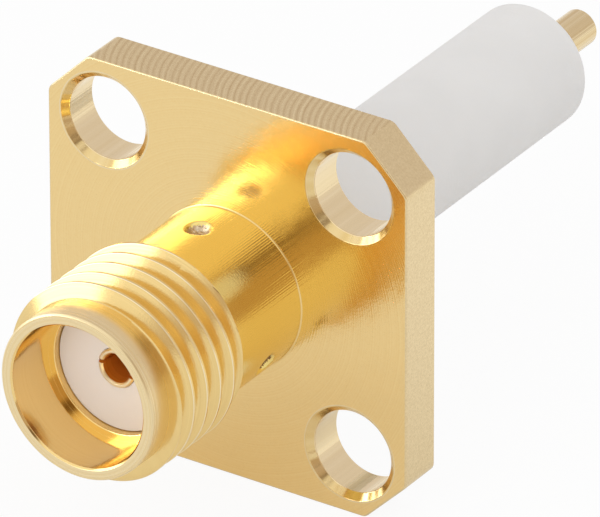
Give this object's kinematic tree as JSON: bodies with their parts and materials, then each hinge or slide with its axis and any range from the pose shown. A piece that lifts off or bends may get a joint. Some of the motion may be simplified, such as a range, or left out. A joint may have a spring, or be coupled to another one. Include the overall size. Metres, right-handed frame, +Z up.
{
  "type": "coaxial panel jack connector",
  "caption": "Gold-plated threaded coaxial jack on a square four-hole flange, with a white dielectric rod and a round terminal pin behind it.",
  "frame": {"origin": "centre of the flange's rear face, which seats on the panel", "axes": "+Y along the connector's axis from the mating end to the terminal pin, +Z up along one side of the square flange, +X along the other"},
  "size_m": [0.0126, 0.0278, 0.0126],
  "materials": {
    "gold_plated_brass": "gold plated over turned and milled brass, glossy with fine tool marks",
    "white_ptfe": "matte white PTFE, turned",
    "gold_plated_copper": "gold plated beryllium copper, glossy"
  },
  "bodies": {
    "root": {"shell": "gold_plated_brass", "insulator": "white_ptfe", "centre_contact": "gold_plated_copper"}
  },
  "joints": []
}
